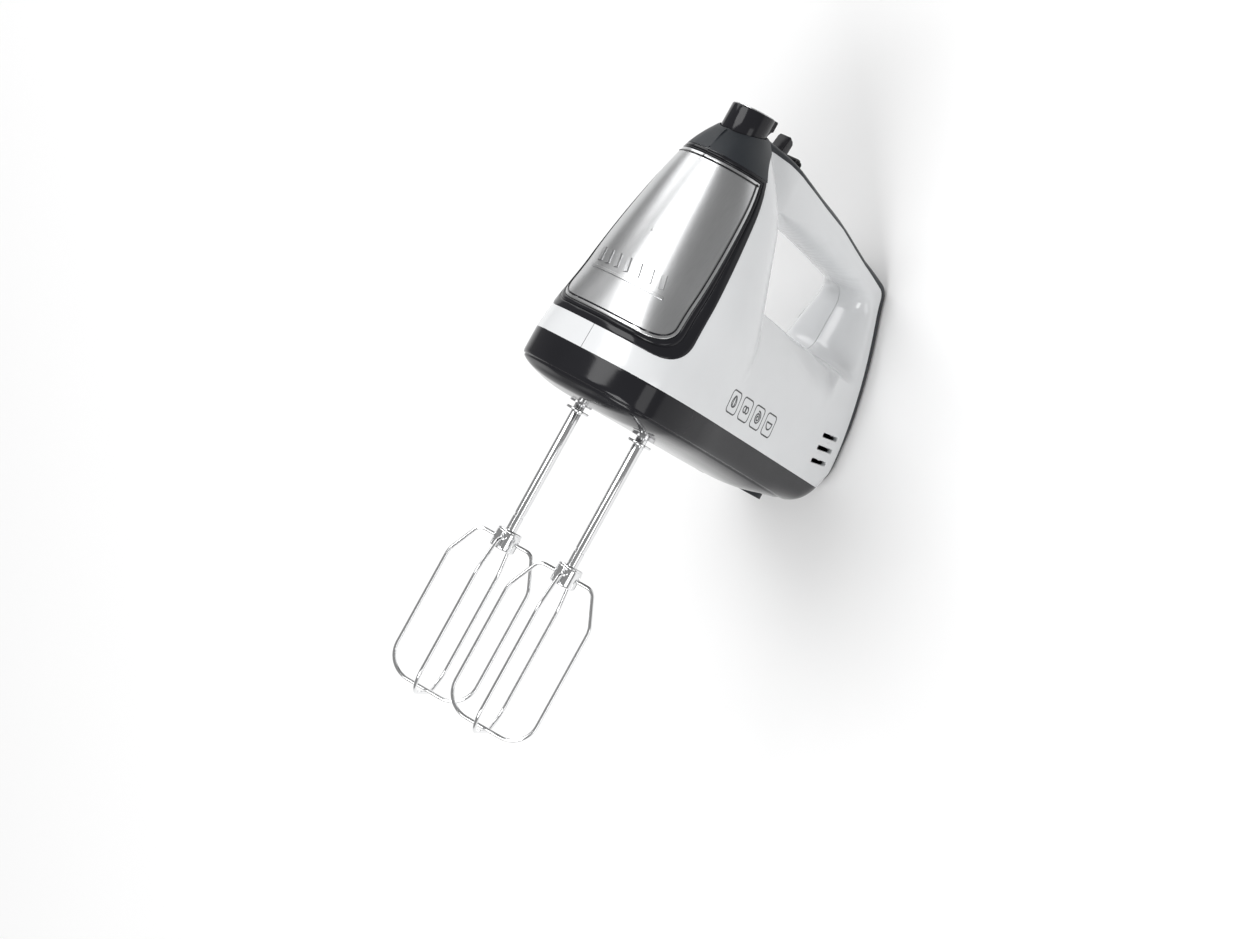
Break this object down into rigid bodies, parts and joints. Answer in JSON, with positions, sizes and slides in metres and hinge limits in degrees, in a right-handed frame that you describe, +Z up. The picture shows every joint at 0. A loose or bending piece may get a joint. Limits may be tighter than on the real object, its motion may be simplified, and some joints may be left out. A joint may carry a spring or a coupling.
{
  "type": "hand mixer",
  "caption": "Hand mixer with a tapered front tower, closed grip, speed dial, eject and turbo buttons and removable wire beaters, parked on its flat rear heel.",
  "frame": {"origin": "centre of the flat rear heel that the parked mixer rests on, on its middle plane", "axes": "+Z up from the floor, +X from the beater tips towards the dial (the spindles lie 10 degrees below it), +Y to the mixer's right hand side"},
  "size_m": [0.3058, 0.0882, 0.2015],
  "materials": {
    "white_shell": "glossy white moulding",
    "gloss_black": "high-gloss black moulding",
    "soft_touch": "matt soft-touch dark grey",
    "brushed_plate": "brushed across, bright bevel",
    "chrome_wire": "polished",
    "silver_cap": "satin silver",
    "gear_plastic": "natural nylon",
    "bronze": "sintered bronze",
    "motor_iron": "stacked laminations",
    "copper": "enamelled copper",
    "cast_bracket": "cast",
    "carbon": "matt black",
    "spring_steel": "bright",
    "board": "green solder mask"
  },
  "bodies": {
    "housing": {"left_shell": "white_shell", "right_shell": "white_shell", "base_cover": "gloss_black", "soft_touch_cover": "soft_touch", "front_frame": "gloss_black", "front_plate": "brushed_plate", "cord_inlet": "soft_touch", "gear_case": "gear_plastic", "gear_cover": "gear_plastic", "spindle_bushes": "bronze", "motor_stator": "motor_iron", "field_coils": "copper", "front_bracket": "cast_bracket", "rear_bracket": "cast_bracket", "motor_bearings": "bronze", "brush_holders": "bronze", "carbon_brushes": "carbon", "brush_springs": "spring_steel", "circuit_board": "board", "heat_sink": "cast_bracket", "rotary_switch": "carbon", "turbo_switch": "carbon", "eject_guide": "gear_plastic", "housing_screws": "spring_steel"},
    "rotor": {"motor_shaft": "spring_steel", "armature_core": "motor_iron", "armature_winding": "copper", "commutator": "copper", "cooling_fan": "gear_plastic"},
    "left_spindle": {"left_worm_wheel": "gear_plastic", "left_drive_sleeve": "spring_steel"},
    "right_spindle": {"right_worm_wheel": "gear_plastic", "right_drive_sleeve": "spring_steel"},
    "left_beater": {"left_beater_shaft": "chrome_wire", "left_beater_collar": "chrome_wire", "left_beater_hub": "chrome_wire", "left_beater_wires": "chrome_wire"},
    "right_beater": {"right_beater_shaft": "chrome_wire", "right_beater_collar": "chrome_wire", "right_beater_hub": "chrome_wire", "right_beater_wires": "chrome_wire"},
    "dial": {"speed_dial": "gloss_black", "dial_cap": "silver_cap", "dial_spindle": "spring_steel"},
    "turbo": {"turbo_button": "gloss_black"},
    "ejector": {"eject_button": "gloss_black", "eject_rod": "gear_plastic", "eject_yoke": "gear_plastic", "eject_spring": "spring_steel"}
  },
  "joints": [
    {"name": "motor_spin", "type": "hinge", "parent": "housing", "child": "rotor", "pos_m": [-0.02388, 0, 0.10043], "axis": [-0.1736, 0, -0.9848], "continuous": true},
    {"name": "left_spindle_spin", "type": "hinge", "parent": "housing", "child": "left_spindle", "pos_m": [-0.0152, -0.0195, 0.14967], "axis": [0.9848, 0, -0.1736], "continuous": true},
    {"name": "right_spindle_spin", "type": "hinge", "parent": "housing", "child": "right_spindle", "pos_m": [-0.0152, 0.0195, 0.14967], "axis": [0.9848, 0, -0.1736], "continuous": true},
    {"name": "left_beater_slide", "type": "slide", "parent": "left_spindle", "child": "left_beater", "axis": [-0.9848, 0, 0.1736], "range_m": [0, 0.06]},
    {"name": "right_beater_slide", "type": "slide", "parent": "right_spindle", "child": "right_beater", "axis": [-0.9848, 0, 0.1736], "range_m": [0, 0.06]},
    {"name": "dial_turn", "type": "hinge", "parent": "housing", "child": "dial", "pos_m": [0.09347, 0, 0.1498], "axis": [-0.9848, 0, 0.1736], "range_deg": [0, 150]},
    {"name": "turbo_press", "type": "slide", "parent": "housing", "child": "turbo", "axis": [-0.9848, 0, 0.1736], "range_m": [0, 0.0025], "stiffness_N_per_m": 400, "springref_m": -0.002},
    {"name": "eject_press", "type": "slide", "parent": "housing", "child": "ejector", "axis": [-0.9848, 0, 0.1736], "range_m": [0, 0.005], "stiffness_N_per_m": 500, "springref_m": -0.002, "deforming": ["eject_spring"]}
  ],
  "couplings": [
    {"joint": "left_spindle_spin", "follows": "motor_spin", "ratio": 0.08},
    {"joint": "right_spindle_spin", "follows": "motor_spin", "ratio": -0.08}
  ]
}
